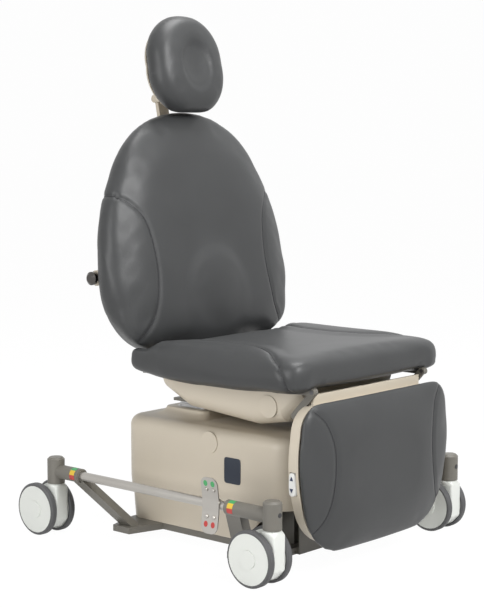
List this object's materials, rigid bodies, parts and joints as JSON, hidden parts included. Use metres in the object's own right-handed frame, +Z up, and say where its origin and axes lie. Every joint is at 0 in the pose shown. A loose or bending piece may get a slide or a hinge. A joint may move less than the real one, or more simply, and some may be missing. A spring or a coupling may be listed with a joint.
{
  "type": "powered procedure chair",
  "caption": "Powered medical procedure chair on swivel casters: lifting column, tilting seat, reclining back, swinging leg section, sliding and tilting headrest, and foot-brake pedals.",
  "frame": {"origin": "middle of the footprint, on the floor", "axes": "+Z up, the sitter faces -Y, +X is the sitter's left"},
  "size_m": [0.881, 1.01, 1.4875],
  "materials": {
    "vinyl": "charcoal upholstery vinyl with a fine grain and a soft sheen",
    "cover": "warm beige moulded covers, satin",
    "frame_paint": "taupe-grey powder coat",
    "bar_paint": "beige powder coat",
    "caster_white": "off-white moulded caster bodies and wheel faces",
    "tyre": "dark grey treads",
    "stainless": "drawn stainless bar and pedal",
    "chrome": "bright plated rods and studs",
    "column_alloy": "satin extruded stages",
    "dark_steel": "oiled steel pins and screw parts",
    "black_plastic": "black housings",
    "switch_white": "white switch plate",
    "switch_navy": "navy touch buttons"
  },
  "bodies": {
    "base": {"base_plate": "frame_paint", "base_cover": "cover", "base_cover_caps": "cover", "column_outer": "column_alloy", "lift_drive": "dark_steel", "control_box": "black_plastic", "caster_leg_front_right": "frame_paint", "caster_leg_rear_right": "frame_paint", "caster_leg_front_left": "frame_paint", "caster_leg_rear_left": "frame_paint"},
    "column_mid": {"column_mid": "column_alloy", "lift_nut_tube": "dark_steel"},
    "carriage": {"column_inner": "column_alloy", "lift_tube": "dark_steel", "tilt_head": "frame_paint", "tilt_pins": "dark_steel"},
    "seat": {"seat_frame": "frame_paint", "actuator_pins": "dark_steel", "hinge_pins": "dark_steel", "leg_actuator": "black_plastic", "back_actuator": "black_plastic", "tilt_actuator": "black_plastic", "seat_shroud": "cover", "shroud_caps": "cover", "seat_cushion": "vinyl"},
    "tilt_rod": {"tilt_rod": "chrome"},
    "back_rod": {"back_rod": "chrome"},
    "leg_rod": {"leg_rod": "chrome"},
    "back": {"back_frame": "frame_paint", "back_shell": "cover", "back_cushion": "vinyl", "arm_studs": "chrome", "headrest_socket": "frame_paint"},
    "headrest_bar": {"headrest_bar": "bar_paint"},
    "headrest": {"headrest_shell": "cover", "headrest_cushion": "vinyl"},
    "leg": {"leg_frame": "frame_paint", "leg_shell": "cover", "leg_cushion": "vinyl", "leg_switch_plate": "switch_white"},
    "leg_switch_up": {"leg_switch_up": "switch_navy"},
    "leg_switch_down": {"leg_switch_down": "switch_navy"},
    "brake_right": {"brake_bar_right": "stainless", "brake_pedal_right": "stainless"},
    "brake_left": {"brake_bar_left": "stainless", "brake_pedal_left": "stainless"},
    "caster_front_right": {"caster_fork_front_right": "caster_white"},
    "wheels_front_right": {"caster_wheels_front_right": "caster_white", "caster_tyres_front_right": "tyre"},
    "caster_rear_right": {"caster_fork_rear_right": "caster_white"},
    "wheels_rear_right": {"caster_wheels_rear_right": "caster_white", "caster_tyres_rear_right": "tyre"},
    "caster_front_left": {"caster_fork_front_left": "caster_white"},
    "wheels_front_left": {"caster_wheels_front_left": "caster_white", "caster_tyres_front_left": "tyre"},
    "caster_rear_left": {"caster_fork_rear_left": "caster_white"},
    "wheels_rear_left": {"caster_wheels_rear_left": "caster_white", "caster_tyres_rear_left": "tyre"}
  },
  "joints": [
    {"name": "lift", "type": "slide", "parent": "base", "child": "carriage", "axis": [0, 0, 1], "range_m": [0, 0.36]},
    {"name": "column_mid", "type": "slide", "parent": "base", "child": "column_mid", "axis": [0, 0, 1], "range_m": [0, 0.18]},
    {"name": "tilt", "type": "hinge", "parent": "carriage", "child": "seat", "pos_m": [0, 0.112, 0.48], "axis": [-1, 0, 0], "range_deg": [0, 15]},
    {"name": "tilt_rod", "type": "slide", "parent": "seat", "child": "tilt_rod", "axis": [0, 1, 0], "range_m": [0, 0.0158]},
    {"name": "back_recline", "type": "hinge", "parent": "seat", "child": "back", "pos_m": [0, 0.15, 0.482], "axis": [-1, 0, 0], "range_deg": [0, 64]},
    {"name": "back_rod", "type": "slide", "parent": "seat", "child": "back_rod", "axis": [0, -1, 0], "range_m": [0, 0.04664]},
    {"name": "leg_raise", "type": "hinge", "parent": "seat", "child": "leg", "pos_m": [0, -0.44, 0.488], "axis": [-1, 0, 0], "range_deg": [0, 85]},
    {"name": "leg_rod", "type": "slide", "parent": "seat", "child": "leg_rod", "axis": [0, -1, 0], "range_m": [0, 0.12836]},
    {"name": "headrest_slide", "type": "slide", "parent": "back", "child": "headrest_bar", "axis": [0, 0.1908, 0.9816], "range_m": [0, 0.1]},
    {"name": "headrest_tilt", "type": "hinge", "parent": "headrest_bar", "child": "headrest", "pos_m": [0, 0.34427, 1.24992], "axis": [-1, 0, 0], "range_deg": [0, 40]},
    {"name": "brake_right", "type": "hinge", "parent": "base", "child": "brake_right", "pos_m": [-0.393, -0.231, 0.187], "axis": [0, 1, 0], "range_deg": [-20, 20]},
    {"name": "brake_left", "type": "hinge", "parent": "base", "child": "brake_left", "pos_m": [0.393, -0.231, 0.187], "axis": [0, 1, 0], "range_deg": [-20, 20]},
    {"name": "swivel_front_right", "type": "hinge", "parent": "base", "child": "caster_front_right", "pos_m": [-0.393, -0.431, 0.15], "axis": [0, 0, 1], "continuous": true},
    {"name": "spin_front_right", "type": "hinge", "parent": "caster_front_right", "child": "wheels_front_right", "pos_m": [-0.393, -0.388, 0.075], "axis": [1, 0, 0], "continuous": true},
    {"name": "swivel_rear_right", "type": "hinge", "parent": "base", "child": "caster_rear_right", "pos_m": [-0.393, 0.387, 0.15], "axis": [0, 0, 1], "continuous": true},
    {"name": "spin_rear_right", "type": "hinge", "parent": "caster_rear_right", "child": "wheels_rear_right", "pos_m": [-0.393, 0.43, 0.075], "axis": [1, 0, 0], "continuous": true},
    {"name": "swivel_front_left", "type": "hinge", "parent": "base", "child": "caster_front_left", "pos_m": [0.393, -0.431, 0.15], "axis": [0, 0, 1], "continuous": true},
    {"name": "spin_front_left", "type": "hinge", "parent": "caster_front_left", "child": "wheels_front_left", "pos_m": [0.393, -0.388, 0.075], "axis": [1, 0, 0], "continuous": true},
    {"name": "swivel_rear_left", "type": "hinge", "parent": "base", "child": "caster_rear_left", "pos_m": [0.393, 0.387, 0.15], "axis": [0, 0, 1], "continuous": true},
    {"name": "spin_rear_left", "type": "hinge", "parent": "caster_rear_left", "child": "wheels_rear_left", "pos_m": [0.393, 0.43, 0.075], "axis": [1, 0, 0], "continuous": true},
    {"name": "press_up", "type": "slide", "parent": "leg", "child": "leg_switch_up", "axis": [1, 0, 0], "range_m": [0, 0.0009], "stiffness_N_per_m": 400},
    {"name": "press_down", "type": "slide", "parent": "leg", "child": "leg_switch_down", "axis": [1, 0, 0], "range_m": [0, 0.0009], "stiffness_N_per_m": 400}
  ],
  "couplings": [
    {"joint": "column_mid", "follows": "lift", "ratio": 0.5},
    {"joint": "tilt_rod", "follows": "tilt", "m_per_rad": 0.060345},
    {"joint": "back_rod", "follows": "back_recline", "m_per_rad": 0.041748},
    {"joint": "leg_rod", "follows": "leg_raise", "m_per_rad": 0.086525}
  ]
}
